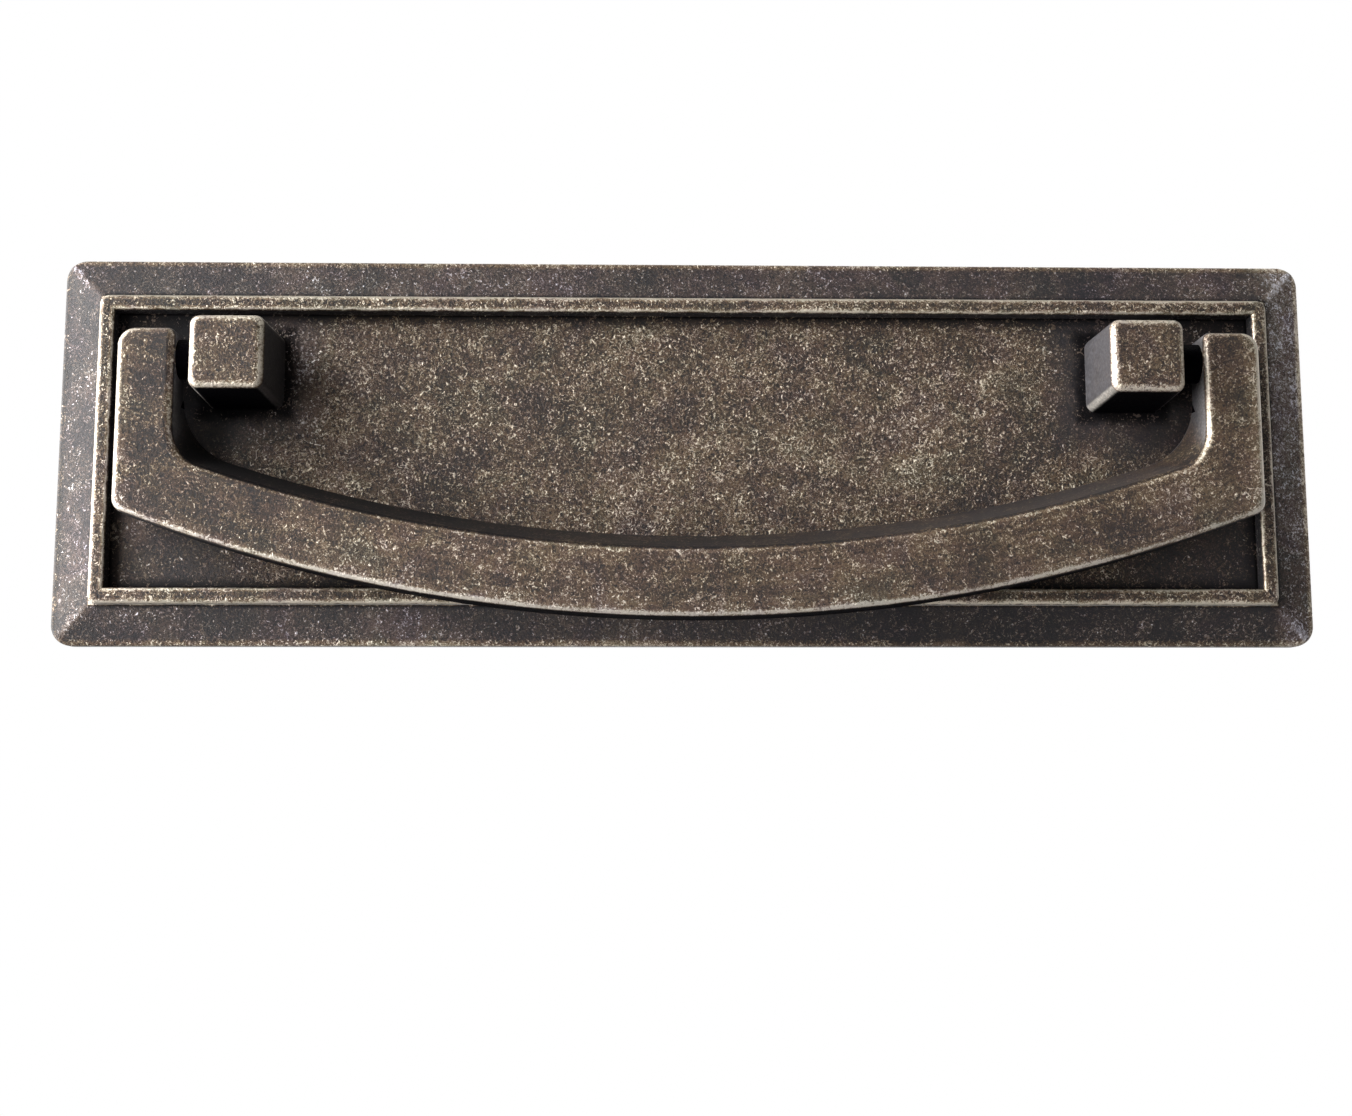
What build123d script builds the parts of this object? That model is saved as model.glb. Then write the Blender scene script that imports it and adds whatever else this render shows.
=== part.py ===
from build123d import *
import math
import os

# Swing-bail drawer pull on a rectangular backplate, all of it cast metal.
# Frame: the flat back of the plate lies in the plane y = 0, against the drawer front.
# The origin is the centre of that back, +X is to the right, +Z is up, and the
# front of the pull looks along -Y. A height is a distance out from the back, in mm.

# Backplate
plate_width = 136.2          # left to right
plate_tall = 42.4            # bottom to top
plate_corner = 2.3           # corner radius seen from the front
plate_edge = 1.45            # height of the side wall all round
plate_edge_round = 0.4       # worn edge between side wall and sloping border
border_width = 4.33          # sloping border, from the side wall to the foot of the rib
border_rise = 1.25           # how far the border climbs on its way to the rib
border_mitre_round = 1.0     # softened mitre line at each corner of the border
rib_width = 1.75             # raised rib that frames the panel
rib_height = 3.7             # top of the rib
rib_corner = 1.0             # outer corner radius of the rib
rib_outer_round = 0.7        # rounding of the rib's outer top edge
rib_inner_round = 0.4        # rounding of the rib's inner top edge
panel_height = 1.9           # face of the recessed panel

# Posts
post_centres = 96.0          # centre to centre, also the spacing of the screws
post_rise = 8.6              # post centres above the middle of the plate
post_top = 7.8               # side of the square top
post_height = 11.6           # top of the post
post_draft = 1.3             # degrees that each side leans, so the foot is wider
post_side_round = 1.1        # rounding of the four upright edges
post_top_round = 0.95        # rounding of the four top edges
tenon_size = 5.6             # square tenon that goes through the plate
tenon_corner = 0.8
tenon_clearance = 0.05       # free space on each side of the tenon
thread_radius = 1.65         # wall of the hole tapped for a 4 mm screw
thread_depth = 9.4           # depth of that hole from the back

# Bail
rest_clearance = 0.1         # bail back above the rib that it rests on
bail_depth = 4.6             # thickness of the bail, back to front
pivot_out = 2.1              # pivot axis in front of the bail's back
pivot_rise = 0.4             # pivot axis above the centres of the posts
pin_radius = 2.1             # stub pins cast on the arms
pin_clearance = 0.05         # radial running fit of a pin in its post
pin_bite = 1.5               # how far a pin reaches into its post with the bail centred
pin_end_clearance = 0.1      # left at the bottom of the hole when the bail slides over
pin_end_chamfer = 0.25
side_play = 0.4              # the loose bail lies this far to the right of centre
arm_gap = 2.5                # between an arm and the side of its post, at the pivot
arm_width = 6.1
arm_above = 3.0              # arm end above the pivot axis
arm_end_round = 1.9          # outer corner of each arm end
arm_end_inner_round = 0.9    # inner corner of each arm end
side_drop = 16.3             # pivot axis down to the lower outer corner
side_corner = 1.5            # radius of that corner
bar_drop = 18.45             # pivot axis down to the bar's upper edge, at the middle
bar_tall = 9.2               # bar's height at the back, at the middle
shoulder_drop = 8.95         # pivot axis down to where that upper edge would meet the arms
bar_slant = 2.0              # how much lower the upper edge is at the front
bend_back = 8.0              # inner bend radius at the back
bend_front = 3.5             # inner bend radius at the front
bail_front_round = 0.85      # rounding of the front edges
bail_back_round = 0.3        # rounding of the back edges

# Places that follow from the sizes above
rib_outer_width = plate_width - 2 * border_width
rib_outer_tall = plate_tall - 2 * border_width
panel_width = rib_outer_width - 2 * rib_width
panel_tall = rib_outer_tall - 2 * rib_width
bail_back = rib_height + rest_clearance
bail_front = bail_back + bail_depth
pivot_height = bail_back + pivot_out
pivot_z = post_rise + pivot_rise
post_lean = math.tan(math.radians(post_draft))
post_foot = post_top + 2 * (post_height - panel_height) * post_lean
post_side_at_pivot = post_top / 2 + (post_height - pivot_height) * post_lean
arm_inner = post_centres / 2 + post_side_at_pivot + arm_gap
arm_outer = arm_inner + arm_width


def level(height):
    # plane parallel to the back, this far out, with the sketch's y along +Z
    return Plane.XZ.offset(height)


def slab(width, tall, low, high, corner=0.0):
    outline = RectangleRounded(width, tall, corner) if corner else Rectangle(width, tall)
    return extrude(level(low) * outline, high - low)


def edges_at(shape, height):
    # edges that lie wholly in the plane of this height
    return shape.edges().filter_by_position(Axis.Y, -height - 1e-4, -height + 1e-4)


def bordered_plate():
    # flat slab with a side wall and a border that slopes up to the rib
    top = plate_edge + border_rise
    slope = loft([level(plate_edge) * Rectangle(plate_width, plate_tall),
                  level(top) * Rectangle(rib_outer_width, rib_outer_tall)], ruled=True)
    mitres = [e for e in slope.edges() if abs(e.center().Y + (plate_edge + top) / 2) < 1e-3]
    slope = fillet(mitres, border_mitre_round)
    blank = slope + slab(plate_width, plate_tall, 0, plate_edge)
    blank = blank & slab(plate_width, plate_tall, 0, top, plate_corner)
    rim = [e for e in blank.edges()
           if -top + 1e-3 < e.center().Y < -plate_edge + 1e-3 and on_side_wall(e)]
    return fillet(rim, plate_edge_round)


def on_side_wall(edge):
    # true for an edge whose points all lie on the plate's outer side wall
    reach_x, reach_z = plate_width / 2, plate_tall / 2
    for share in (0.0, 0.5, 1.0):
        p = edge.position_at(share)
        past_x = abs(p.X) - (reach_x - plate_corner)
        past_z = abs(p.Z) - (reach_z - plate_corner)
        if past_x > 0 and past_z > 0:
            inside = plate_corner - math.hypot(past_x, past_z)
        else:
            inside = min(reach_x - abs(p.X), reach_z - abs(p.Z))
        if inside > 1e-3:
            return False
    return True


def backplate():
    plate = bordered_plate() + slab(rib_outer_width, rib_outer_tall, 0, rib_height, rib_corner)
    outer = edges_at(plate, rib_height)
    plate = fillet(outer, rib_outer_round)
    plate = plate - slab(panel_width, panel_tall, panel_height, rib_height)
    inner = [e for e in edges_at(plate, rib_height)
             if abs(e.center().X) < panel_width / 2 + 1e-3
             and abs(e.center().Z) < panel_tall / 2 + 1e-3]
    plate = fillet(inner, rib_inner_round)
    for side in (-1, 1):
        plate = plate - tenon(side, tenon_clearance)
    return plate


def tenon(side, grow=0.0):
    size = tenon_size + 2 * grow
    outline = RectangleRounded(size, size, tenon_corner + grow)
    return Pos(side * post_centres / 2, 0, post_rise) * extrude(level(0) * outline, panel_height)


def post(side):
    block = loft([level(panel_height) * Rectangle(post_foot, post_foot),
                  level(post_height) * Rectangle(post_top, post_top)], ruled=True)
    middle = -(panel_height + post_height) / 2
    block = fillet([e for e in block.edges() if abs(e.center().Y - middle) < 1e-3], post_side_round)
    block = fillet(edges_at(block, post_height), post_top_round)
    block = Pos(side * post_centres / 2, 0, post_rise) * block
    screw_hole = extrude(level(0) * Circle(thread_radius), thread_depth)
    screw_hole = Pos(side * post_centres / 2, 0, post_rise) * screw_hole
    return block + tenon(side) - screw_hole - pin_hole(side)


def across(radius, start, end):
    # round bar along the pivot axis between two x positions
    length = abs(end - start)
    turned = Cylinder(radius, length, rotation=(0, 90, 0))
    return Pos((start + end) / 2, -pivot_height, pivot_z) * turned


def pin_hole(side):
    bottom = arm_inner - arm_gap - pin_bite - side_play - pin_end_clearance
    return across(pin_radius + pin_clearance, side * bottom, side * arm_inner)


def pin(side):
    tip = arm_inner - arm_gap - pin_bite
    root = arm_inner + arm_width / 4
    stub = across(pin_radius, side * tip, side * root)
    end = stub.faces().sort_by(Axis.X)[0 if side > 0 else -1]
    return chamfer(end.edges(), pin_end_chamfer)


def bar_arc(half_width, middle_z, end_z):
    return ThreePointArc((-half_width, end_z), (0, middle_z), (half_width, end_z))


def bail_outline():
    # outer shape seen from the front, with z measured from the pivot axis
    low = -(bar_drop + bar_tall)
    arc = bar_arc(arm_outer, low, -side_drop)
    sides = Polyline((arm_outer, -side_drop), (arm_outer, arm_above),
                     (-arm_outer, arm_above), (-arm_outer, -side_drop))
    face = make_face([arc, sides])
    face = fillet([v for v in face.vertices() if abs(v.Y + side_drop) < 1e-3], side_corner)
    return fillet([v for v in face.vertices() if abs(v.Y - arm_above) < 1e-3], arm_end_round)


def opening_outline(drop, shoulder, bend):
    # space between the arms, open at the top
    above = arm_above + arm_end_round
    arc = bar_arc(arm_inner, -drop, -shoulder)
    sides = Polyline((arm_inner, -shoulder), (arm_inner, above),
                     (-arm_inner, above), (-arm_inner, -shoulder))
    face = make_face([arc, sides])
    return fillet([v for v in face.vertices() if abs(v.Y + shoulder) < 1e-3], bend)


def bail():
    # the upper side of the bar leans back, so the opening is a ruled shape
    blank = extrude(level(bail_back) * bail_outline(), bail_depth)
    opening = loft([level(bail_back) * opening_outline(bar_drop, shoulder_drop, bend_back),
                    level(bail_front) * opening_outline(bar_drop + bar_slant,
                                                        shoulder_drop + bar_slant, bend_front)],
                   ruled=True)
    ring = blank - opening
    arm_tips = [e for e in ring.edges() if abs(e.center().Z - arm_above) < 1e-3
                and abs(abs(e.center().X) - arm_inner) < 1e-3]
    ring = fillet(arm_tips, arm_end_inner_round)
    ring = fillet(edges_at(ring, bail_front), bail_front_round)
    ring = fillet(edges_at(ring, bail_back), bail_back_round)
    whole = Pos(0, 0, pivot_z) * ring + pin(-1) + pin(1)
    return Pos(side_play, 0, 0) * whole


os.makedirs("parts", exist_ok=True)
export_step(backplate(), "parts/backplate.step")
export_step(post(-1), "parts/post_left.step")
export_step(post(1), "parts/post_right.step")
export_step(bail(), "parts/bail.step")
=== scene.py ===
import math
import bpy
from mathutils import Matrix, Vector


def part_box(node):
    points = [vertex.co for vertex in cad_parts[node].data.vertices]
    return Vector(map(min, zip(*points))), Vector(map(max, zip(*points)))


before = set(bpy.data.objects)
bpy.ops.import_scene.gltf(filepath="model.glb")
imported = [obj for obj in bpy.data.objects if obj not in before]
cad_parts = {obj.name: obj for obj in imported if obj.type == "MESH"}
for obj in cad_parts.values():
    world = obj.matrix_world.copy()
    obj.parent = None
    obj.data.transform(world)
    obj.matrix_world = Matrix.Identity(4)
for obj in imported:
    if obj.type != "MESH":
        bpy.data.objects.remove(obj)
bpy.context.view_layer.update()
from types import SimpleNamespace
import bpy
from mathutils import Euler, Vector

# Swing-bail drawer pull in dark, tumbled and hand-relieved brass.
# Places are in metres in the frame of the part: +X right, +Z up, the front looks along -Y.
# Sizes written below are in millimetres and pass through MM.

MM = 0.001
SMOOTH = {"interpolation_type": "SMOOTHSTEP"}

# Backplate, measured inwards from its side wall
border_width = 4.33          # sloping border
rib_width = 1.75             # raised rib
rib_inside = border_width + rib_width
wear_reach = 10.0            # past this the panel is rubbed evenly
slope_width = border_width - 0.2     # border without the corner at the rib's foot
foot_width = border_width + 0.3      # border with that corner
rim_from, rim_to = 0.4, 0.9          # the border's rim is brown, and its slope lilac grey
mitre_from, mitre_to = 0.1, 1.1      # a mitre's pale line fades at these distances from it
back_skin = 0.05             # what lies nearer to the wall than this is the ground back face
edge_stray, mitre_stray, post_stray = 0.5, 2.2, 1.6      # width in which a zone's outline strays

# Backplate, places across it and heights on it
ends_from, ends_to = 44.0, 52.0      # behind the arms the tumbling media hardly reach the panel ...
ends_least = 0.55                    # ... which is rubbed by this share there ...
nook_from, nook_to = 2.0, 9.0        # ... and is black from these heights up, partly as patina and partly as painted shade
lower_from, lower_to = -17.0, -7.0   # between these heights the painted shade on the lower border fades out
border_shade_from, border_shade_to = -5.0, 30.0        # painted shade: the lower border grows darker to the right
border_bright_from, border_bright_to = 62.5, 65.0    # the border is lighter at its right end
rim_dull_from, rim_dull_to = -67.1, -67.9            # the border's left rim is darker
panel_shade_from, panel_shade_to = 10.0, 26.0          # the panel's right part is darker too, as painted shade

# Backplate, distances from the side of a post
post_side = 8.1              # side of a post at its foot
clear_from, clear_to = 0.1, 1.6      # the rubbing sets in between these ...
dull_from, dull_to = 1.5, 6.0        # ... and grows to its full strength between these ...
dull_least = 0.5                     # ... from this share
pocket_from, pocket_to = 0.3, 2.3    # the black round the posts, partly patina and partly painted shade, fades out between these

# Posts and bail
post_light_falloff = 0.05         # painted light: the left post is so much lighter, and the right one darker
screw_radius = 1.65          # wall of the tapped holes
screw_reach = screw_radius + 0.05    # a little past it, to take in the whole wall
screw_pitch = 0.7            # of a 4 mm screw thread
thread_height = 8.0          # of its ridges, in units of the tumbled pits
arm_width = 6.1
arm_reach = arm_width + 0.02         # the stub pins reach inwards from the arms' inner faces ...
pin_zone_low = 4.0           # ... and lie higher than this
shoulder_zone = 2.0          # the bar's upper side, which the media hardly reach, lies lower than this
bow_rise = 11.35             # how far the bar's bow rises ...
bow_half = 60.63             # ... over this half width
bend_place = 50.0            # painted shade: the bar's upper side is blackest in its left bend, and bare in the right
bar_low, bar_high = -18.2, -13.0     # the bar's front at its middle: the hand rubs its upper part more
lip_tall = 2.4               # its lowest part is rubbed too
arms_from, arms_to = -18.0, 0.0      # from these heights up the arms are rubbed less than the bar ...
side_from, side_to = 2.6, 0.6        # ... but more this near to their outer sides
wall_back, wall_front = 1.2, 0.8     # its walls grow paler from this near its back to this near its front

# Patterns, as the size of one repeat
stray_size = 1.6             # outlines of the plate's zones
stroke_size = 0.42           # cream strokes and dark pits
scratch_size = 1.1           # curled scratches
chip_size, crowd_size = 0.33, 2.4    # bright chips, and the places where they crowd
grit_size = 0.3              # roughness between the strokes
cloud_size, drift_size = 4.0, 16.0   # small and large clouds of wear
hue_size = 4.5               # lilac, cream and green patches
ground_size = 0.4            # belt lines on the back
brush_size = 0.6             # brush lines on the bail
wave_size, wave_depth = 3.0, 0.05    # unevenness of the casting
pit_depth = 0.11             # of strokes, pits and grit

# How much each pattern adds to the wear, and what takes its middle back to nought
grit_share, grain_middle, grain_share = 0.7, 0.87, 1.2
drift_share, cloud_middle, cloud_share = 1.2, 1.1, 0.65
scratch_share, crowd_share, chip_share, brush_share = 0.5, 0.6, 0.4, 0.6
chip_clears = 0.6            # how much of the blackening a chip takes away
ground_stretch, brush_stretch = 0.03, 0.05   # lines are drawn out by squeezing their pattern so much

gunmetal_grey = "#565559"
burnished = "#EFECE8"
white = "#FFFFFF"

# Camera of the photograph: turned a little up and to the right
camera_lens = 44.505
camera_sensor = 36.0         # its width
camera_place = Vector((-5.486, -180.895, -34.928))
camera_turn = (97.3986, 0.0651, -1.3455)
camera_nearest = 5.0         # nothing nearer to the lens is drawn

# Room round the pull, in metres and in brightness where 1 is white
floor_height = -1.2
floor_reach = 4.2
floor_sides = 48
floor_white, floor_grey = 0.75, 0.45     # floor as the lens and as the metal see it
floor_glow = 0.8                         # share of that brightness, which fades its shadows
front_white, front_grey = 0.8, 0.14      # the room in front of the pull, as the same two see it
air_light = 0.03                         # and as light that falls on the pull


def colour(code):
    # linear colour from an sRGB hex value
    shares = [int(code[i:i + 2], 16) / 255 for i in (1, 3, 5)]
    return [s / 12.92 if s <= 0.04045 else ((s + 0.055) / 1.055) ** 2.4 for s in shares] + [1.0]


def per_metre(size):
    # texture scale for a pattern that repeats every so many millimetres
    return 1 / (size * MM)


def inwards(zones):
    # settings of a ramp with stops at places in millimetres inwards from the plate's side wall
    return {"stops": [(place / wear_reach, tone) for place, tone in zones]}


def add(tree, kind, settings=None, inputs=None, out=0):
    # adds one node and returns one of its outputs; inputs are values or other nodes' outputs
    node = tree.nodes.new(kind)
    for name, value in (settings or {}).items():
        if name == "stops":
            stops = node.color_ramp.elements
            while len(stops) < len(value):
                stops.new(1.0)
            for stop, (place, tone) in zip(stops, value):
                stop.position = place
                stop.color = colour(tone) if isinstance(tone, str) else [tone, tone, tone, 1.0]
        else:
            setattr(node, name, value)
    for name, value in (inputs or {}).items():
        if isinstance(value, bpy.types.NodeSocket):
            tree.links.new(value, node.inputs[name])
        else:
            node.inputs[name].default_value = value
    return node.outputs[out] if node.outputs else node


def new_material(name):
    material = bpy.data.materials.new(name)
    material.use_nodes = True
    material.node_tree.nodes.clear()
    return material, material.node_tree


def plate_depth(tree, parts):
    # distance inwards from the side wall, and how far a point is from the mitre line, in metres
    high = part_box("backplate")[1]
    depths = []
    for part, reach in ((parts[0], high.x), (parts[2], high.z)):
        away = add(tree, "ShaderNodeMath", {"operation": "ABSOLUTE"}, {0: part})
        depths.append(add(tree, "ShaderNodeMath", {"operation": "SUBTRACT"}, {0: reach, 1: away}))
    depth = add(tree, "ShaderNodeMath", {"operation": "MINIMUM"}, {0: depths[0], 1: depths[1]})
    apart = add(tree, "ShaderNodeMath", {"operation": "SUBTRACT"}, {0: depths[0], 1: depths[1]})
    mitre = add(tree, "ShaderNodeMath", {"operation": "ABSOLUTE"}, {0: apart})
    return depth, mitre


def post_distance(tree, parts):
    # distance from the nearer post's side, in metres
    low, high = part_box("post_right")
    centre = (low + high) / 2
    side = add(tree, "ShaderNodeMath", {"operation": "ABSOLUTE"}, {0: parts[0]})
    sizes = []
    for part, middle in ((side, centre.x), (parts[2], centre.z)):
        apart = add(tree, "ShaderNodeMath", {"operation": "SUBTRACT"}, {0: part, 1: middle})
        sizes.append(add(tree, "ShaderNodeMath", {"operation": "ABSOLUTE"}, {0: apart}))
    reach = add(tree, "ShaderNodeMath", {"operation": "MAXIMUM"}, {0: sizes[0], 1: sizes[1]})
    return add(tree, "ShaderNodeMath", {"operation": "SUBTRACT"}, {0: reach, 1: post_side / 2 * MM})


def strokes(tree, place):
    # Tumbling leaves short cream strokes and small dark pits on an even skin. The finest are some
    # 0.1 mm wide on the real skin, and drawn a little coarser so that they show.
    # 0 is a dark pit, 0.5 plain skin and 1 or more a cream stroke.
    field = add(tree, "ShaderNodeTexNoise", inputs={
        "Vector": place, "Scale": per_metre(stroke_size), "Detail": 1.0, "Roughness": 0.5,
        "Distortion": 1.8})
    marks = add(tree, "ShaderNodeValToRGB", {"stops": [
        (0.28, 0.0), (0.34, 0.0), (0.40, 0.44), (0.60, 0.5), (0.67, 0.95), (0.74, 1.35)]},
        {"Fac": field})
    curl = add(tree, "ShaderNodeTexNoise", inputs={
        "Vector": place, "Scale": per_metre(scratch_size), "Detail": 2.0, "Roughness": 0.6,
        "Distortion": 2.6})
    scratch = add(tree, "ShaderNodeValToRGB", {"stops": [
        (0.475, 0.0), (0.488, 1.0), (0.496, 1.0), (0.507, 0.0)]}, {"Fac": curl})
    return add(tree, "ShaderNodeMath", {"operation": "MULTIPLY_ADD"}, {
        0: scratch, 1: scratch_share, 2: marks})


def chips(tree, place):
    # small bright spots where the tumbling has struck the plating through, closer together in places
    spot = add(tree, "ShaderNodeTexNoise", inputs={
        "Vector": place, "Scale": per_metre(chip_size), "Detail": 1.0, "Roughness": 0.7,
        "Distortion": 0.8})
    crowd = add(tree, "ShaderNodeTexNoise", inputs={
        "Vector": place, "Scale": per_metre(crowd_size), "Detail": 2.0, "Roughness": 0.6})
    field = add(tree, "ShaderNodeMath", {"operation": "MULTIPLY_ADD"}, {
        0: crowd, 1: crowd_share, 2: spot})
    return add(tree, "ShaderNodeMapRange", SMOOTH, {
        "Value": field, "From Min": 0.93, "From Max": 0.97, "To Min": 0.0, "To Max": 1.0})


def facing(tree):
    # how the surface faces: to the right, to the front and up, each from -1 to 1
    normal = add(tree, "ShaderNodeTexCoord", out="Normal")
    parts = add(tree, "ShaderNodeSeparateXYZ", inputs={0: normal}).node.outputs
    front = add(tree, "ShaderNodeMath", {"operation": "MULTIPLY"}, {0: parts[1], 1: -1.0})
    return parts[0], front, parts[2]


def rubbed_back(tree, place, line, grit, wear, speckle):
    # how far the skin is rubbed back at each point: zone, strokes and grit, clouds and chips
    grain = add(tree, "ShaderNodeMath", {"operation": "MULTIPLY_ADD"}, {0: grit, 1: grit_share, 2: line})
    grain = add(tree, "ShaderNodeMath", {"operation": "SUBTRACT"}, {0: grain, 1: grain_middle})
    grain = add(tree, "ShaderNodeMath", {"operation": "MULTIPLY"}, {0: grain, 1: speckle})
    grain = add(tree, "ShaderNodeMath", {"operation": "MULTIPLY_ADD"}, {0: grain, 1: grain_share, 2: wear})
    cloud = add(tree, "ShaderNodeTexNoise", inputs={
        "Vector": place, "Scale": per_metre(cloud_size), "Detail": 4.0, "Roughness": 0.7})
    drift = add(tree, "ShaderNodeTexNoise", inputs={
        "Vector": place, "Scale": per_metre(drift_size), "Detail": 2.0, "Roughness": 0.5})
    cloud = add(tree, "ShaderNodeMath", {"operation": "MULTIPLY_ADD"}, {
        0: drift, 1: drift_share, 2: cloud})
    cloud = add(tree, "ShaderNodeMath", {"operation": "SUBTRACT"}, {0: cloud, 1: cloud_middle})
    grain = add(tree, "ShaderNodeMath", {"operation": "MULTIPLY_ADD"}, {
        0: cloud, 1: cloud_share, 2: grain})
    return add(tree, "ShaderNodeMath", {"operation": "MULTIPLY_ADD"}, {
        0: chips(tree, place), 1: chip_share, 2: grain})


def skin_colour(tree, place, rubbed, warm):
    # dark brown where the blackening is left, cream where it is gone, in lilac and green patches
    # that fade on the barest metal
    tone = add(tree, "ShaderNodeValToRGB", {"stops": [
        (0.0, "#221F22"), (0.2, "#3D342F"), (0.42, "#67574B"), (0.62, "#7F7263"),
        (0.82, "#ABA398"), (1.0, "#ECE9E4")]}, {"Fac": rubbed})
    hue = add(tree, "ShaderNodeTexNoise", inputs={
        "Vector": place, "Scale": per_metre(hue_size), "Detail": 4.0, "Roughness": 0.65,
        "Distortion": 0.8})
    tint = add(tree, "ShaderNodeValToRGB", {"stops": [
        (0.32, "#B7A8C8"), (0.43, "#EFE0E4"), (0.54, "#FFF8EA"), (0.67, "#C6D0C8")]}, {"Fac": hue})
    tinted = add(tree, "ShaderNodeMapRange", inputs={
        "Value": rubbed, "From Min": 0.8, "From Max": 1.05, "To Min": 0.62, "To Max": 0.15})
    skin = add(tree, "ShaderNodeMix", {"data_type": "RGBA", "blend_type": "MULTIPLY"}, {
        "Factor": tinted, 6: tone, 7: tint}, out=2)
    cast_hue = add(tree, "ShaderNodeMix", {"data_type": "RGBA"}, {
        "Factor": warm, 6: colour("#EAEBFA"), 7: colour("#FFF7E9")}, out=2)
    return add(tree, "ShaderNodeMix", {"data_type": "RGBA", "blend_type": "MULTIPLY"}, {
        "Factor": 1.0, 6: skin, 7: cast_hue}, out=2)


def aged_brass(tree, place, wear, speckle, black, warm=1.0, gunmetal=colour(gunmetal_grey), ridges=0.0):
    # Brass plating, blackened, tumbled and lacquered. Front faces are tan-brown with cream and dark
    # strokes, rounded edges are burnished cream, side walls are smooth and gunmetal grey, and black
    # stays in the corners, as patina and as painted shade. wear is how far the skin is rubbed back,
    # speckle how rough the tumbling left it, black how much blackening and painted shade lies on it and
    # warm how brown rather than lilac grey the skin is, all 0 to 1. ridges is the height of cut threads,
    # in units of the pits.
    line = strokes(tree, place)
    grit = add(tree, "ShaderNodeTexNoise", inputs={
        "Vector": place, "Scale": per_metre(grit_size), "Detail": 1.0, "Roughness": 0.6})
    rubbed = rubbed_back(tree, place, line, grit, wear, speckle)

    front = facing(tree)[1]
    wall = add(tree, "ShaderNodeMapRange", SMOOTH, {
        "Value": front, "From Min": 0.15, "From Max": 0.45, "To Min": 0.8, "To Max": 0.0})
    specks = add(tree, "ShaderNodeValToRGB", {"stops": [(0.3, 0.55), (0.5, 0.95), (0.7, 1.6)]},
                 {"Fac": grit})
    gunmetal = add(tree, "ShaderNodeMix", {"data_type": "RGBA", "blend_type": "MULTIPLY"}, {
        "Factor": 0.8, 6: gunmetal, 7: specks}, out=2)
    skin = add(tree, "ShaderNodeMix", {"data_type": "RGBA"}, {
        "Factor": wall, 6: skin_colour(tree, place, rubbed, warm), 7: gunmetal}, out=2)
    # the black colour lays down both patina and painted shade
    skin = add(tree, "ShaderNodeMix", {"data_type": "RGBA"}, {
        "Factor": black, 6: skin, 7: colour("#08070B")}, out=2)

    rough = add(tree, "ShaderNodeMapRange", inputs={
        "Value": rubbed, "From Min": 0.0, "From Max": 1.0, "To Min": 0.58, "To Max": 0.34})
    rough = add(tree, "ShaderNodeMath", {"operation": "MULTIPLY_ADD"}, {0: grit, 1: 0.1, 2: rough})
    rough = add(tree, "ShaderNodeMath", {"operation": "MULTIPLY_ADD"}, {0: black, 1: 0.3, 2: rough})

    waves = add(tree, "ShaderNodeTexNoise", inputs={
        "Vector": place, "Scale": per_metre(wave_size), "Detail": 2.0, "Roughness": 0.5})
    cast = add(tree, "ShaderNodeBump", inputs={
        "Strength": 0.6, "Distance": wave_depth * MM, "Height": waves})
    pits = add(tree, "ShaderNodeMath", {"operation": "MULTIPLY_ADD"}, {0: line, 1: 0.5, 2: grit})
    pits = add(tree, "ShaderNodeMath", {"operation": "ADD"}, {0: pits, 1: ridges})
    bump = add(tree, "ShaderNodeBump", inputs={
        "Strength": speckle, "Distance": pit_depth * MM, "Height": pits, "Normal": cast})

    # both bare brass and the black, patina and painted shade alike, reflect as metal, and the lacquer is
    # thin on the black
    bare = add(tree, "ShaderNodeMapRange", inputs={
        "Value": rubbed, "From Min": 0.1, "From Max": 0.9, "To Min": 0.15, "To Max": 0.75})
    bare = add(tree, "ShaderNodeMath", {"operation": "MAXIMUM"}, {0: bare, 1: black})
    clean = add(tree, "ShaderNodeMath", {"operation": "SUBTRACT"}, {0: 1.0, 1: black})
    lacquer = add(tree, "ShaderNodeMath", {"operation": "MULTIPLY"}, {0: clean, 1: 0.45})
    shader = add(tree, "ShaderNodeBsdfPrincipled", inputs={
        "Base Color": skin, "Metallic": bare, "Roughness": rough, "Normal": bump,
        "Coat Weight": lacquer, "Coat Roughness": 0.42, "Coat Normal": cast})
    add(tree, "ShaderNodeOutputMaterial", inputs={"Surface": shader})


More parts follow.
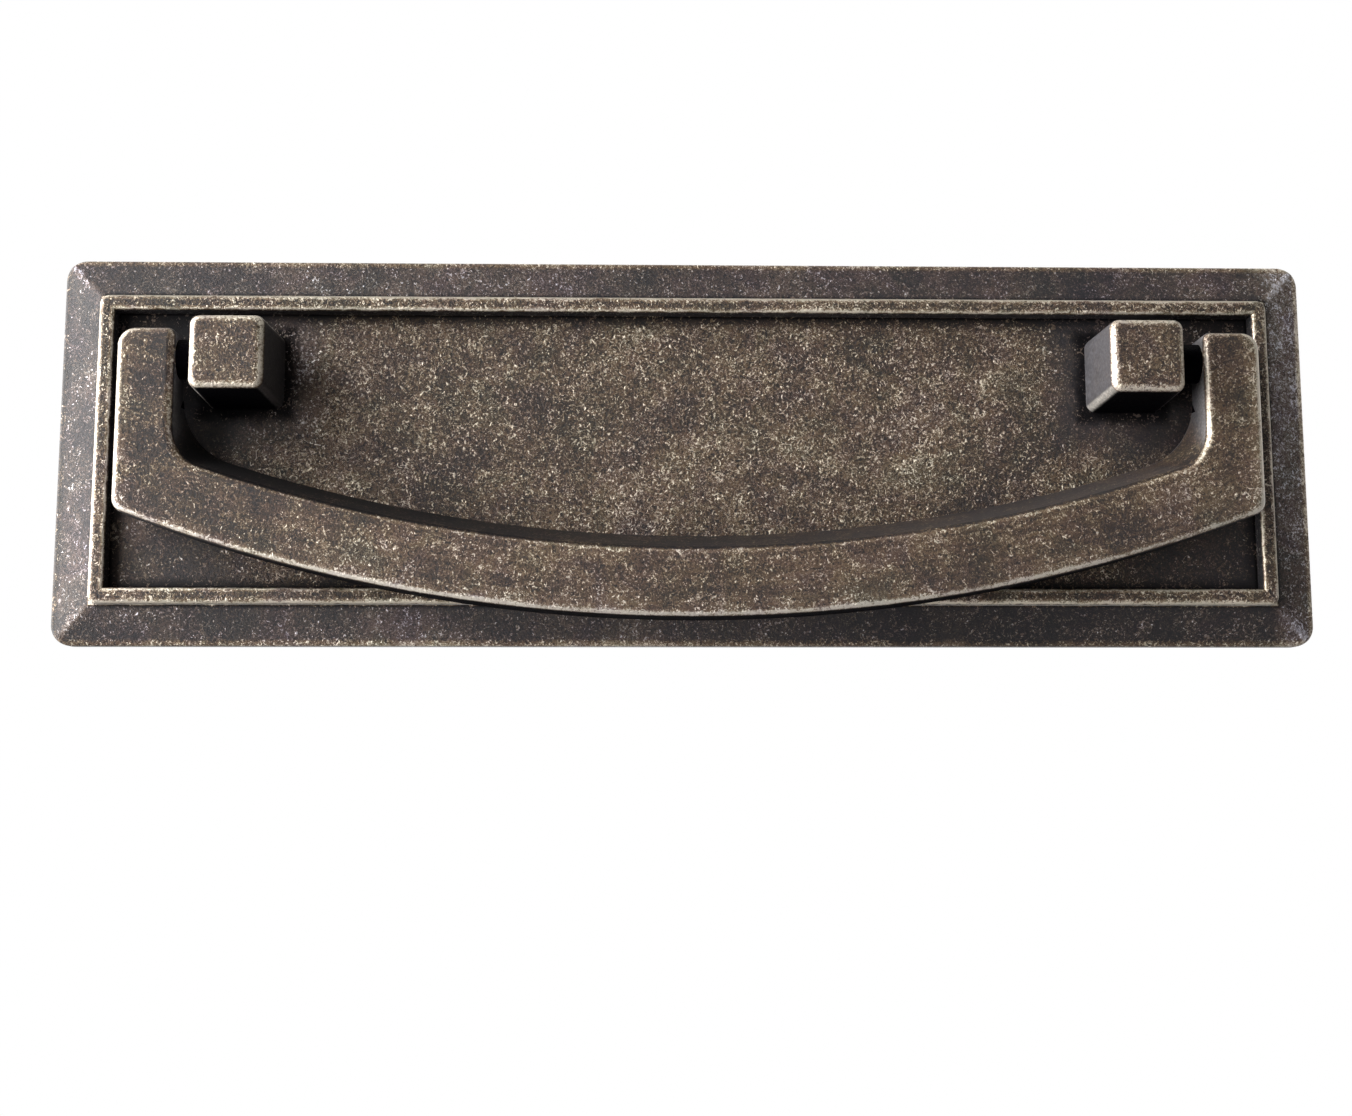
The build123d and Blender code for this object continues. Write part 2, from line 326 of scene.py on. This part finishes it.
def plate_zones(tree, place):
    # what the plate's wear, blackening and tint share: places and distances in metres, and masks
    # from 0 to 1. exact and loose are the depth as a share of wear_reach, loose with a straying
    # outline. clear, dull and ends are how much of its wear the panel keeps round the posts and
    # behind the arms.
    parts = add(tree, "ShaderNodeSeparateXYZ", inputs={0: place}).node.outputs
    stray = add(tree, "ShaderNodeTexNoise", inputs={
        "Vector": place, "Scale": per_metre(stray_size), "Detail": 3.0, "Roughness": 0.6})
    stray = add(tree, "ShaderNodeMath", {"operation": "SUBTRACT"}, {0: stray, 1: 0.5})
    depth, mitre = plate_depth(tree, parts)
    strayed = add(tree, "ShaderNodeMath", {"operation": "MULTIPLY_ADD"}, {
        0: stray, 1: edge_stray * MM, 2: depth})
    mitre = add(tree, "ShaderNodeMath", {"operation": "MULTIPLY_ADD"}, {
        0: stray, 1: mitre_stray * MM, 2: mitre})
    near = add(tree, "ShaderNodeMath", {"operation": "MULTIPLY_ADD"}, {
        0: stray, 1: post_stray * MM, 2: post_distance(tree, parts)})
    framed = add(tree, "ShaderNodeMath", {"operation": "LESS_THAN"}, {0: depth, 1: rib_inside * MM})
    side = add(tree, "ShaderNodeMath", {"operation": "ABSOLUTE"}, {0: parts[0]})
    shares = []
    for value, start, end, first, last in ((near, clear_from, clear_to, 0.0, 1.0),
                                           (near, dull_from, dull_to, dull_least, 1.0),
                                           (side, ends_from, ends_to, 1.0, ends_least)):
        share = add(tree, "ShaderNodeMapRange", SMOOTH, {
            "Value": value, "From Min": start * MM, "From Max": end * MM,
            "To Min": first, "To Max": last})
        shares.append(add(tree, "ShaderNodeMath", {"operation": "MAXIMUM"}, {0: share, 1: framed}))
    border = add(tree, "ShaderNodeMath", {"operation": "LESS_THAN"}, {0: depth, 1: slope_width * MM})
    lower = add(tree, "ShaderNodeMapRange", SMOOTH, {
        "Value": parts[2], "From Min": lower_from * MM, "From Max": lower_to * MM,
        "To Min": 1.0, "To Max": 0.0})
    return SimpleNamespace(
        parts=parts, depth=depth, mitre=mitre, near=near, border=border,
        exact=add(tree, "ShaderNodeMath", {"operation": "DIVIDE"}, {0: depth, 1: wear_reach * MM}),
        loose=add(tree, "ShaderNodeMath", {"operation": "DIVIDE"}, {0: strayed, 1: wear_reach * MM}),
        clear=shares[0], dull=shares[1], ends=shares[2],
        behind=add(tree, "ShaderNodeMath", {"operation": "SUBTRACT"}, {0: 1.0, 1: shares[2]}),
        recess=add(tree, "ShaderNodeMath", {"operation": "SUBTRACT"}, {0: 1.0, 1: framed}),
        lower=add(tree, "ShaderNodeMath", {"operation": "MULTIPLY"}, {0: lower, 1: border}),
        back=add(tree, "ShaderNodeMath", {"operation": "GREATER_THAN"}, {
            0: parts[1], 1: -back_skin * MM}))


def plate_wear(tree, zone):
    # wear and speckle: by the distance inwards, less round the posts and behind the arms, with
    # pale mitre lines and a drift from left to right
    wear = add(tree, "ShaderNodeValToRGB", inwards((
        (0.0, 0.72), (0.35, 0.55), (0.75, 0.26), (border_width - 0.7, 0.27),
        (border_width - 0.1, 0.1), (border_width + 0.1, 1.3), (border_width + 0.65, 0.36),
        (rib_inside - 0.55, 0.34), (rib_inside - 0.15, 1.1), (rib_inside + 0.1, 0.0),
        (rib_inside + 0.4, 0.12), (rib_inside + 1.2, 0.38))), {"Fac": zone.loose})
    speckle = add(tree, "ShaderNodeValToRGB", inwards((
        (0.0, 0.8), (0.6, 0.64), (border_width - 0.3, 0.64), (border_width + 0.1, 0.35),
        (border_width + 0.6, 0.95), (rib_inside - 0.55, 0.95), (rib_inside - 0.1, 0.4),
        (rib_inside + 0.2, 0.3), (rib_inside + 1.2, 1.0))), {"Fac": zone.loose})
    for share in (zone.clear, zone.dull, zone.ends):
        wear = add(tree, "ShaderNodeMath", {"operation": "MULTIPLY"}, {0: wear, 1: share})
    for share in (zone.dull, zone.ends):
        speckle = add(tree, "ShaderNodeMath", {"operation": "MULTIPLY"}, {0: speckle, 1: share})

    across = zone.parts[0]
    # pale mitre lines, a lighter right end and darker left rim on the border, and painted shade on the
    # lower border's right half and the panel's right part
    for value, mask, start, end, first, last in (
            (zone.mitre, zone.border, mitre_from, mitre_to, 0.3, 0.0),
            (across, zone.lower, border_shade_from, border_shade_to, 0.0, -0.16),
            (across, zone.border, border_bright_from, border_bright_to, 0.0, 0.34),
            (across, zone.recess, panel_shade_from, panel_shade_to, 0.0, -0.06),
            (across, zone.border, rim_dull_from, rim_dull_to, 0.0, -0.5)):
        shift = add(tree, "ShaderNodeMapRange", SMOOTH, {
            "Value": value, "From Min": start * MM, "From Max": end * MM,
            "To Min": first, "To Max": last})
        shift = add(tree, "ShaderNodeMath", {"operation": "MULTIPLY"}, {0: shift, 1: mask})
        wear = add(tree, "ShaderNodeMath", {"operation": "ADD"}, {0: wear, 1: shift})
    return wear, speckle


def ground_back(tree, place, back, wear, speckle):
    # the flat back is ground on a belt: even, dark, and finely lined from left to right
    along = add(tree, "ShaderNodeMapping", inputs={"Vector": place, "Scale": (ground_stretch, 1.0, 1.0)})
    lines = add(tree, "ShaderNodeTexNoise", inputs={
        "Vector": along, "Scale": per_metre(ground_size), "Detail": 3.0, "Roughness": 0.6})
    ground = add(tree, "ShaderNodeMapRange", inputs={
        "Value": lines, "From Min": 0.25, "From Max": 0.75, "To Min": 0.05, "To Max": 0.6})
    wear = add(tree, "ShaderNodeMix", inputs={"Factor": back, "A": wear, "B": ground})
    speckle = add(tree, "ShaderNodeMix", inputs={"Factor": back, "A": speckle, "B": 0.25})
    return wear, speckle


def plate_black(tree, place, zone):
    # blackening in the corners at the rib, round the posts and behind the arms, partly patina and partly
    # painted shade, and painted shade on the lower border's right half; less at the rib's left foot, and
    # none on chips and the back
    # black round the foot of the posts: partly patina, partly painted shade where the posts shade the
    # panel
    pocket_patina_and_shade = add(tree, "ShaderNodeMapRange", SMOOTH, {
        "Value": zone.near, "From Min": pocket_from * MM, "From Max": pocket_to * MM,
        "To Min": 0.8, "To Max": 0.0})
    pocket_patina_and_shade = add(tree, "ShaderNodeMath", {"operation": "MULTIPLY"}, {0: pocket_patina_and_shade, 1: zone.recess})
    # black at the outer and inner foot of the rib: partly patina, partly a painted shadow line
    corner = add(tree, "ShaderNodeValToRGB", inwards((
        (border_width - 0.5, 0.0), (border_width - 0.1, 0.6), (border_width + 0.1, 0.0),
        (rib_inside - 0.1, 0.0), (rib_inside + 0.05, 0.95), (rib_inside + 0.35, 0.5),
        (rib_inside + 1.6, 0.0))), {"Fac": zone.exact})
    black = add(tree, "ShaderNodeMath", {"operation": "MAXIMUM"}, {0: pocket_patina_and_shade, 1: corner})
    # less painted shade at the rib's left foot, which the light from the left reaches
    left = add(tree, "ShaderNodeMath", {"operation": "LESS_THAN"}, {
        0: zone.parts[0], 1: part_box("backplate")[0].x + foot_width * MM})
    left = add(tree, "ShaderNodeMath", {"operation": "MULTIPLY"}, {0: left, 1: 0.45})
    black = add(tree, "ShaderNodeMath", {"operation": "SUBTRACT"}, {0: black, 1: left})
    # painted shade on the lower border's right half; behind the arms, black that is partly patina and
    # partly painted shade
    for value, mask, start, end, last in (
            (zone.parts[0], zone.lower, border_shade_from, border_shade_to, 0.3),
            (zone.parts[2], zone.behind, nook_from, nook_to, 1.3)):
        shade_and_patina = add(tree, "ShaderNodeMapRange", SMOOTH, {
            "Value": value, "From Min": start * MM, "From Max": end * MM,
            "To Min": 0.0, "To Max": last})
        shade_and_patina = add(tree, "ShaderNodeMath", {"operation": "MULTIPLY"}, {0: shade_and_patina, 1: mask})
        black = add(tree, "ShaderNodeMath", {"operation": "MAXIMUM"}, {0: black, 1: shade_and_patina})
    bare = add(tree, "ShaderNodeMath", {"operation": "MULTIPLY_ADD"}, {
        0: chips(tree, place), 1: chip_clears, 2: zone.back})
    return add(tree, "ShaderNodeMath", {"operation": "SUBTRACT", "use_clamp": True}, {
        0: black, 1: bare})


def plate_tint(tree, zone):
    # lilac grey on the sloping border, round the posts and behind the arms, and brown elsewhere;
    # walls are gunmetal grey, apart from the rib's outer one, which is burnished
    mild = add(tree, "ShaderNodeMapRange", inputs={
        "Value": zone.dull, "From Min": dull_least, "From Max": 1.0, "To Min": 0.2, "To Max": 1.0})
    slope = add(tree, "ShaderNodeMapRange", SMOOTH, {
        "Value": zone.depth, "From Min": rim_from * MM, "From Max": rim_to * MM,
        "To Min": 0.0, "To Max": 1.0})
    lilac = add(tree, "ShaderNodeMath", {"operation": "MULTIPLY"}, {0: zone.border, 1: slope})
    lilac = add(tree, "ShaderNodeMath", {"operation": "MULTIPLY_ADD"}, {
        0: zone.behind, 1: 1.3, 2: lilac})
    warm = add(tree, "ShaderNodeMath", {"operation": "SUBTRACT", "use_clamp": True}, {
        0: mild, 1: lilac})
    walls = add(tree, "ShaderNodeValToRGB", inwards((
        (0.0, gunmetal_grey), (border_width - 0.5, gunmetal_grey), (border_width - 0.1, burnished),
        (border_width + 0.4, burnished), (border_width + 0.8, gunmetal_grey))), {"Fac": zone.loose})
    walls = add(tree, "ShaderNodeMix", {"data_type": "RGBA"}, {
        "Factor": zone.back, 6: walls, 7: colour(gunmetal_grey)}, out=2)
    return warm, walls


def plate_finish():
    # Antique brass on a zinc casting. Rib and rim are rubbed tan, the mitres are pale lines, the
    # sloping border is smooth and grey, and corners round the panel and posts are blue-black, partly as
    # patina and partly as painted shade.
    material, tree = new_material("antique_brass_backplate")
    place = add(tree, "ShaderNodeTexCoord", out="Object")
    zone = plate_zones(tree, place)
    wear, speckle = plate_wear(tree, zone)
    wear, speckle = ground_back(tree, place, zone.back, wear, speckle)
    warm, walls = plate_tint(tree, zone)
    aged_brass(tree, place, wear, speckle, plate_black(tree, place, zone), warm, walls)
    return material


def bail_level(tree, parts):
    # height above the bar's bow, in metres, so that the bar lies straight in it
    across = add(tree, "ShaderNodeMath", {"operation": "DIVIDE"}, {0: parts[0], 1: bow_half * MM})
    bow = add(tree, "ShaderNodeMath", {"operation": "MULTIPLY"}, {0: across, 1: across})
    return add(tree, "ShaderNodeMath", {"operation": "MULTIPLY_ADD"}, {
        0: bow, 1: -bow_rise * MM, 2: parts[2]})


def brush_lines(tree, parts, level):
    # faint lines along the bow, from -0.5 to 0.5
    along = add(tree, "ShaderNodeMath", {"operation": "MULTIPLY"}, {
        0: parts[0], 1: brush_stretch})
    straight = add(tree, "ShaderNodeCombineXYZ", inputs={0: along, 1: parts[1], 2: level})
    brush = add(tree, "ShaderNodeTexNoise", inputs={
        "Vector": straight, "Scale": per_metre(brush_size), "Detail": 3.0, "Roughness": 0.6})
    return add(tree, "ShaderNodeMath", {"operation": "SUBTRACT"}, {0: brush, 1: 0.5})


def painted_underside_shade(tree, up):
    # painted shade: walls that face down are painted black, as they lie in shade
    return add(tree, "ShaderNodeMapRange", SMOOTH, {
        "Value": up, "From Min": -0.98, "From Max": -0.8, "To Min": 1.0, "To Max": 0.0})


def bail_finish():
    # The same brass, burnished cream on the rounded front edges, gunmetal on its walls and painted black
    # as shade on the stub pins and underneath, with faint brush lines on the front that follow the bar's
    # bow.
    material, tree = new_material("antique_brass_bail")
    place = add(tree, "ShaderNodeTexCoord", out="Object")
    parts = add(tree, "ShaderNodeSeparateXYZ", inputs={0: place}).node.outputs
    front, up = facing(tree)[1:]
    low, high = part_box("bail")
    middle, half = (low.x + high.x) / 2, (high.x - low.x) / 2
    side = add(tree, "ShaderNodeMath", {"operation": "SUBTRACT"}, {0: parts[0], 1: middle})
    side = add(tree, "ShaderNodeMath", {"operation": "ABSOLUTE"}, {0: side})
    level = bail_level(tree, parts)

    # the bar's upper side leans back under the fingers and is hardly reached by the media
    sheltered = add(tree, "ShaderNodeMapRange", SMOOTH, {
        "Value": up, "From Min": 0.3, "From Max": 0.7, "To Min": 0.0, "To Max": 1.0})
    bar = add(tree, "ShaderNodeMath", {"operation": "LESS_THAN"}, {0: parts[2], 1: shoulder_zone * MM})
    sheltered = add(tree, "ShaderNodeMath", {"operation": "MULTIPLY"}, {0: sheltered, 1: bar})

    wear = add(tree, "ShaderNodeValToRGB", {"stops": [
        (0.0, 0.1), (0.42, 0.2), (0.6, 0.95), (0.85, 1.0), (0.95, 0.65), (0.995, 0.38)]},
        {"Fac": front})
    wear = add(tree, "ShaderNodeMix", inputs={"Factor": sheltered, "A": wear, "B": 0.08})
    wear = add(tree, "ShaderNodeMath", {"operation": "MULTIPLY_ADD"}, {
        0: brush_lines(tree, parts, level), 1: brush_share, 2: wear})
    # painted shade: the left arm is painted darker than the right one, evening out the stronger light from
    # the left
    arm_shade_lean = add(tree, "ShaderNodeMapRange", inputs={
        "Value": parts[0], "From Min": -bow_half * MM, "From Max": bow_half * MM,
        "To Min": -0.30, "To Max": -0.13})
    for value, start, end, first, last in (
            (level, bar_low * MM, bar_high * MM, -0.06, 0.08),
            (parts[2], arms_from * MM, arms_to * MM, 0.0, arm_shade_lean),
            (level, bar_low * MM, (bar_low + lip_tall) * MM, 0.16, 0.0),
            (side, half - side_from * MM, half - side_to * MM, 0.0, 0.3)):
        shift = add(tree, "ShaderNodeMapRange", SMOOTH, {
            "Value": value, "From Min": start, "From Max": end, "To Min": first, "To Max": last})
        wear = add(tree, "ShaderNodeMath", {"operation": "ADD"}, {0: wear, 1: shift})
    speckle = add(tree, "ShaderNodeMapRange", inputs={
        "Value": front, "From Min": 0.3, "From Max": 0.95, "To Min": 0.3, "To Max": 0.65})
    warm = add(tree, "ShaderNodeMapRange", SMOOTH, {
        "Value": level, "From Min": bar_low * MM, "From Max": bar_high * MM,
        "To Min": 0.8, "To Max": 1.0})

    # painted shade: the stub pins, which sit in the dark gap beside the posts, are painted black
    inner = add(tree, "ShaderNodeMath", {"operation": "LESS_THAN"}, {
        0: side, 1: half - arm_reach * MM})
    upper = add(tree, "ShaderNodeMath", {"operation": "GREATER_THAN"}, {
        0: parts[2], 1: pin_zone_low * MM})
    pin_shade = add(tree, "ShaderNodeMath", {"operation": "MULTIPLY"}, {0: inner, 1: upper})
    black = add(tree, "ShaderNodeMath", {"operation": "MAXIMUM"}, {0: pin_shade, 1: painted_underside_shade(tree, up)})
    # painted shade on the bar's upper side, fading from its left bend to its right one
    slant_shade = add(tree, "ShaderNodeMapRange", inputs={
        "Value": parts[0], "From Min": -bend_place * MM, "From Max": bend_place * MM,
        "To Min": 0.7, "To Max": 0.0})
    slant_shade = add(tree, "ShaderNodeMath", {"operation": "MULTIPLY"}, {0: sheltered, 1: slant_shade})
    black = add(tree, "ShaderNodeMath", {"operation": "MAXIMUM"}, {0: black, 1: slant_shade})

    outer = add(tree, "ShaderNodeMapRange", inputs={
        "Value": parts[1], "From Min": high.y - wall_back * MM, "From Max": low.y + wall_front * MM,
        "To Min": 0.0, "To Max": 1.0})
    walls = add(tree, "ShaderNodeMix", {"data_type": "RGBA"}, {
        "Factor": outer, 6: colour(gunmetal_grey), 7: colour("#918E8E")}, out=2)
    aged_brass(tree, place, wear, speckle, black, warm, walls)
    return material


def post_finish():
    # The same brass, with cream, burnished front edges and smooth gunmetal walls; the walls that face
    # right are painted darker as shade. The left post is painted a little lighter than the right one, as
    # painted light falling off from the left.
    material, tree = new_material("antique_brass_posts")
    place = add(tree, "ShaderNodeTexCoord", out="Object")
    parts = add(tree, "ShaderNodeSeparateXYZ", inputs={0: place}).node.outputs
    right, front, up = facing(tree)
    wear = add(tree, "ShaderNodeValToRGB", {"stops": [
        (0.0, 0.15), (0.3, 0.4), (0.5, 0.85), (0.85, 1.0), (0.97, 0.58), (0.995, 0.27)]},
        {"Fac": front})
    # painted light: the left post is lighter and the right one darker, as the light falls off from the
    # left
    side = add(tree, "ShaderNodeMath", {"operation": "SIGN"}, {0: parts[0]})
    wear = add(tree, "ShaderNodeMath", {"operation": "MULTIPLY_ADD"}, {
        0: side, 1: -post_light_falloff, 2: wear})
    speckle = add(tree, "ShaderNodeMapRange", inputs={
        "Value": front, "From Min": 0.3, "From Max": 0.95, "To Min": 0.3, "To Max": 0.75})
    # painted shade: walls that face right, away from the light, are darkened
    right_wall_shade = add(tree, "ShaderNodeMapRange", SMOOTH, {
        "Value": right, "From Min": 0.75, "From Max": 0.95, "To Min": 0.0, "To Max": 0.55})
    black = add(tree, "ShaderNodeMath", {"operation": "MAXIMUM"}, {0: painted_underside_shade(tree, up), 1: right_wall_shade})
    diagonal = add(tree, "ShaderNodeMath", {"operation": "MULTIPLY"}, {0: right, 1: up})
    edge = add(tree, "ShaderNodeMapRange", SMOOTH, {
        "Value": diagonal, "From Min": 0.2, "From Max": 0.45, "To Min": 0.0, "To Max": 0.8})
    walls = add(tree, "ShaderNodeMix", {"data_type": "RGBA"}, {
        "Factor": edge, 6: colour(gunmetal_grey), 7: colour("#C9C3BA")}, out=2)
    aged_brass(tree, place, wear, speckle, black, gunmetal=walls, ridges=threads(tree, parts))
    return material


def threads(tree, parts):
    # the turns of the tapped screw holes, as ridges along the depth of the bore
    low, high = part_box("post_right")
    side = add(tree, "ShaderNodeMath", {"operation": "ABSOLUTE"}, {0: parts[0]})
    spot = add(tree, "ShaderNodeCombineXYZ", inputs={0: side, 2: parts[2]})
    axis = Vector(((low.x + high.x) / 2, 0.0, (low.z + high.z) / 2))
    away = add(tree, "ShaderNodeVectorMath", {"operation": "DISTANCE"}, {0: spot, 1: axis}, out=1)
    bore = add(tree, "ShaderNodeMath", {"operation": "LESS_THAN"}, {0: away, 1: screw_reach * MM})
    flank = screw_pitch / 2 * MM
    turns = add(tree, "ShaderNodeMath", {"operation": "PINGPONG"}, {0: parts[1], 1: flank})
    turns = add(tree, "ShaderNodeMath", {"operation": "MULTIPLY"}, {0: turns, 1: thread_height / flank})
    return add(tree, "ShaderNodeMath", {"operation": "MULTIPLY"}, {0: bore, 1: turns})


def dress(node, material):
    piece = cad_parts[node]
    piece.data.materials.clear()
    piece.data.materials.append(material)


def seen_as(tree, by_lens, by_metal, by_air):
    # one value for rays from the lens or through glass, one for reflections, one for scattered light
    rays = add(tree, "ShaderNodeLightPath").node.outputs
    lens = add(tree, "ShaderNodeMath", {"operation": "MAXIMUM"}, {
        0: rays["Is Camera Ray"], 1: rays["Is Transmission Ray"]})
    level = add(tree, "ShaderNodeMix", inputs={
        "Factor": rays["Is Glossy Ray"], "A": by_air, "B": by_metal})
    return add(tree, "ShaderNodeMix", inputs={"Factor": lens, "A": level, "B": by_lens})


def floor_paper():
    # matt pale paper: the lens and the metal see it light, and its shadows stay, but faint
    material, tree = new_material("pale_floor_paper")
    paper = add(tree, "ShaderNodeBsdfDiffuse", inputs={"Color": colour("#8C8B88")})
    glow = add(tree, "ShaderNodeEmission", inputs={
        "Color": colour(white), "Strength": seen_as(tree, floor_white, floor_grey, 0.0)})
    share = seen_as(tree, floor_glow, floor_glow, 0.0)
    both = add(tree, "ShaderNodeMixShader", inputs={0: share, 1: paper, 2: glow})
    place = add(tree, "ShaderNodeTexCoord", out="Object")
    away = add(tree, "ShaderNodeVectorMath", {"operation": "LENGTH"}, {0: place}, out=1)
    edge = add(tree, "ShaderNodeMapRange", SMOOTH, {
        "Value": away, "From Min": floor_reach * 0.5, "From Max": floor_reach,
        "To Min": 0.0, "To Max": 1.0})
    clear = add(tree, "ShaderNodeBsdfTransparent")
    sheet = add(tree, "ShaderNodeMixShader", inputs={0: edge, 1: both, 2: clear})
    add(tree, "ShaderNodeOutputMaterial", inputs={"Surface": sheet})
    return material


def pale_floor():
    # a wide round floor well below the pull, which fades out towards its rim
    rim = [(floor_reach * math.cos(a), floor_reach * math.sin(a), floor_height)
           for a in (math.tau * step / floor_sides for step in range(floor_sides))]
    mesh = bpy.data.meshes.new("pale_floor")
    mesh.from_pydata(rim, [], [list(range(len(rim)))])
    sheet = bpy.data.objects.new("pale_floor", mesh)
    bpy.context.scene.collection.objects.link(sheet)
    mesh.materials.append(floor_paper())


def pale_room():
    # a white wall behind the pull, and a pale grey room in front of it, which the metal sees darker;
    # little of either lights the pull
    world = bpy.data.worlds.new("pale_room")
    world.use_nodes = True
    tree = world.node_tree
    tree.nodes.clear()
    towards = add(tree, "ShaderNodeTexCoord", out="Generated")
    direction = add(tree, "ShaderNodeSeparateXYZ", inputs={0: towards}).node.outputs
    front = seen_as(tree, front_white, front_grey, air_light)
    behind = seen_as(tree, 1.0, 1.0, air_light)
    wall = add(tree, "ShaderNodeMapRange", SMOOTH, {
        "Value": direction[1], "From Min": -0.1, "From Max": 0.5, "To Min": front, "To Max": behind})
    air = add(tree, "ShaderNodeBackground", inputs={"Color": colour(white), "Strength": wall})
    add(tree, "ShaderNodeOutputWorld", inputs={"Surface": air})
    bpy.context.scene.world = world


def softbox(name, place, wide, tall, radiance):
    # a rectangular soft light that looks at the pull; radiance is how bright its face is
    light = bpy.data.lights.new(name, "AREA")
    light.shape = "RECTANGLE"
    light.size, light.size_y = wide, tall
    light.energy = radiance * math.pi * wide * tall
    box = bpy.data.objects.new(name, light)
    box.location = place
    box.rotation_euler = (-Vector(place)).to_track_quat("-Z", "Y").to_euler()
    box.visible_camera = False
    bpy.context.scene.collection.objects.link(box)


def studio():
    # a tall window on the left, which reaches round to the front and up, and a weak fill
    softbox("window_left", (-1.38, -0.15, 0.12), 1.5, 2.2, 5.0)
    softbox("window_front_left", (-1.19, -0.69, 0.12), 1.3, 1.8, 2.9)
    softbox("window_high_left", (-1.00, -0.75, 0.90), 1.0, 1.0, 3.5)
    softbox("fill_right", (1.10, -0.85, 0.50), 1.1, 1.1, 0.4)


def camera():
    lens = bpy.data.cameras.new("photograph_camera")
    lens.lens = camera_lens
    lens.sensor_width = camera_sensor
    lens.clip_start = camera_nearest * MM
    viewer = bpy.data.objects.new("photograph_camera", lens)
    viewer.location = camera_place * MM
    viewer.rotation_euler = Euler([math.radians(a) for a in camera_turn])
    bpy.context.scene.collection.objects.link(viewer)
    bpy.context.scene.camera = viewer


dress("backplate", plate_finish())
dress("bail", bail_finish())
posts = post_finish()
for side in ("left", "right"):
    dress("post_" + side, posts)
pale_floor()
pale_room()
studio()
camera()
bpy.context.scene.view_settings.view_transform = "Standard"
